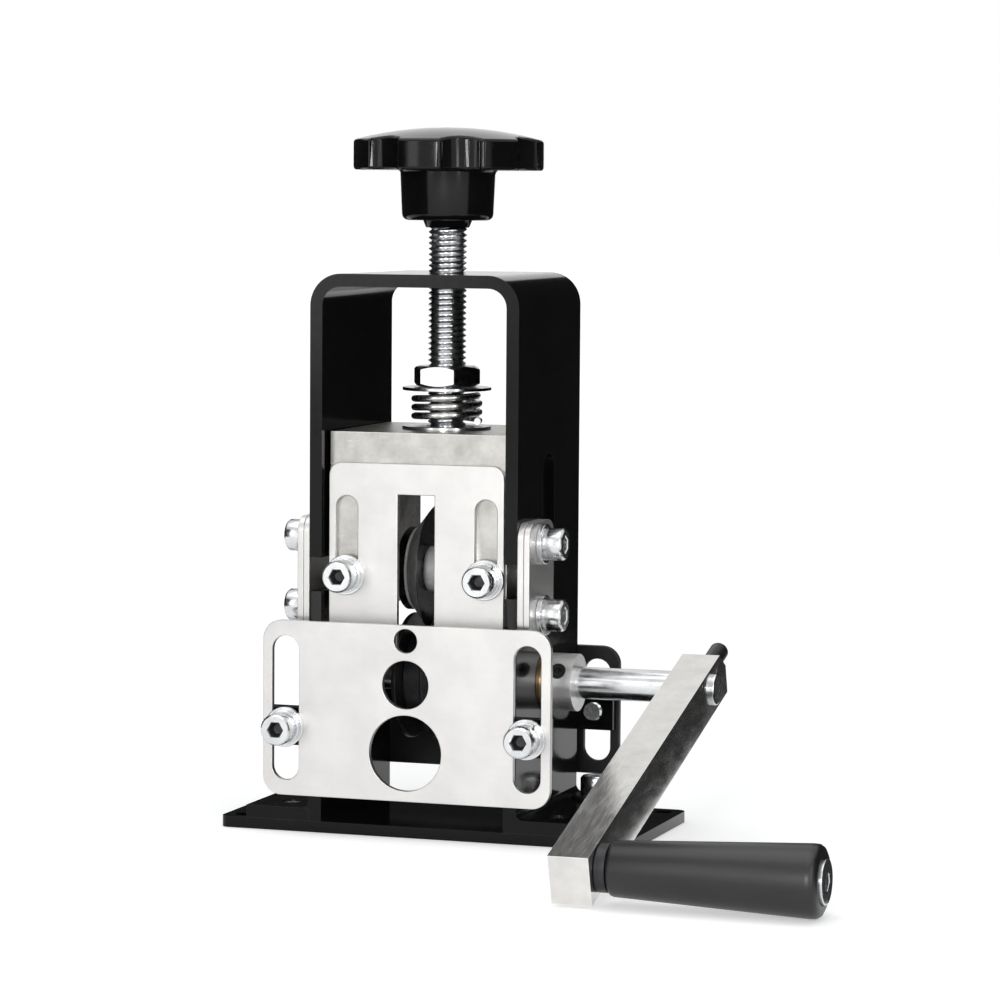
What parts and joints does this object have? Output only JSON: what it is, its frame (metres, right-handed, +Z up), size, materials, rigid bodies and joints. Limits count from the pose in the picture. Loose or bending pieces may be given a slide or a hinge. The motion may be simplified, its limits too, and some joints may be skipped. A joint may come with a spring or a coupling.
{
  "type": "hand crank wire stripper",
  "caption": "Bench wire stripper: a crank turns a knurled roller that feeds cable under a round cutter, which a lobed knob presses down on a sprung carriage.",
  "frame": {"origin": "middle of the four bench screw holes, on the underside of the base plate", "axes": "+Z up out of the base plate, -Y to the front where the cable goes in, +X to the crank side"},
  "size_m": [0.2177, 0.176, 0.22],
  "materials": {
    "black_paint": "gloss black stoved paint on bent sheet steel",
    "satin_black": "satin black paint",
    "brushed_steel": "brushed stainless sheet",
    "ground_steel": "ground steel block with mill marks",
    "bright_zinc": "bright zinc plate",
    "nickel_plate": "nickel plate with fine scratches",
    "spring_steel": "plated spring wire",
    "tool_steel": "black oxide with a ground bevel",
    "black_oxide": "black oxide",
    "black_bakelite": "gloss black moulded resin",
    "black_grip": "satin black plastic",
    "bronze": "sintered bronze"
  },
  "bodies": {
    "frame": {"base_plate": "black_paint", "frame": "black_paint", "guide_ears": "black_paint", "rear_foot_screws": "bright_zinc", "rear_foot_washers": "bright_zinc", "front_foot_screws": "bright_zinc", "left_bush": "bronze", "right_bush": "bronze", "left_inner_plate": "brushed_steel", "left_outer_plate": "brushed_steel", "right_inner_plate": "brushed_steel", "right_outer_plate": "brushed_steel", "side_screws": "bright_zinc", "side_washers": "bright_zinc", "lower_guide_screws": "bright_zinc", "lower_guide_washers": "bright_zinc", "lower_guide_lock_washers": "bright_zinc", "rear_guide_screws": "bright_zinc", "rear_guide_washers": "bright_zinc"},
    "carriage": {"carriage_block": "ground_steel", "cutter_axle": "bright_zinc", "left_spacer": "bright_zinc", "right_spacer": "bright_zinc", "upper_guide_screws": "bright_zinc", "upper_guide_washers": "bright_zinc", "upper_guide_lock_washers": "bright_zinc", "lower_seat_washer": "bright_zinc", "pressure_spring": "spring_steel", "upper_seat_washer": "bright_zinc"},
    "screw": {"pressure_screw": "bright_zinc", "lock_nut": "bright_zinc", "retaining_clip": "black_oxide", "star_knob": "black_bakelite"},
    "cutter": {"cutter_disc": "tool_steel"},
    "crank": {"crank_shaft": "bright_zinc", "feed_roller": "black_oxide", "roller_spacer": "black_oxide", "roller_flange": "black_oxide", "roller_set_screw": "black_oxide", "left_collar": "bright_zinc", "right_collar": "bright_zinc", "collar_set_screws": "black_oxide", "crank_arm": "nickel_plate", "arm_set_screw": "black_oxide", "neck_washer": "black_oxide", "grip_bolt": "bright_zinc"},
    "handle": {"grip": "black_grip"},
    "upper_guide": {"upper_guide_plate": "brushed_steel"},
    "lower_guide": {"lower_guide_plate": "brushed_steel"},
    "rear_guide": {"rear_guide_plate": "satin_black"}
  },
  "joints": [
    {"name": "carriage_slide", "type": "slide", "parent": "frame", "child": "carriage", "axis": [0, 0, 1], "range_m": [0, 0.024]},
    {"name": "screw_turn", "type": "hinge", "parent": "carriage", "child": "screw", "pos_m": [-0.0035, 0, 0.15], "axis": [0, 0, 1], "range_deg": [0, 4938]},
    {"name": "cutter_spin", "type": "hinge", "parent": "carriage", "child": "cutter", "pos_m": [-0.0035, 0, 0.081], "axis": [1, 0, 0], "continuous": true},
    {"name": "crank_turn", "type": "hinge", "parent": "frame", "child": "crank", "pos_m": [-0.0035, 0, 0.047], "axis": [1, 0, 0], "continuous": true},
    {"name": "grip_spin", "type": "hinge", "parent": "crank", "child": "handle", "pos_m": [0.12, -0.11964, 0.0108], "axis": [1, 0, 0], "continuous": true},
    {"name": "upper_guide_slide", "type": "slide", "parent": "carriage", "child": "upper_guide", "axis": [0, 0, 1], "range_m": [-0.021, 0.001]},
    {"name": "lower_guide_slide", "type": "slide", "parent": "frame", "child": "lower_guide", "axis": [0, 0, 1], "range_m": [-0.0085, 0.007]},
    {"name": "rear_guide_slide", "type": "slide", "parent": "frame", "child": "rear_guide", "axis": [0, 0, 1], "range_m": [-0.009, 0.013]}
  ],
  "couplings": [
    {"joint": "screw_turn", "follows": "carriage_slide", "rad_per_m": 3590.4}
  ]
}
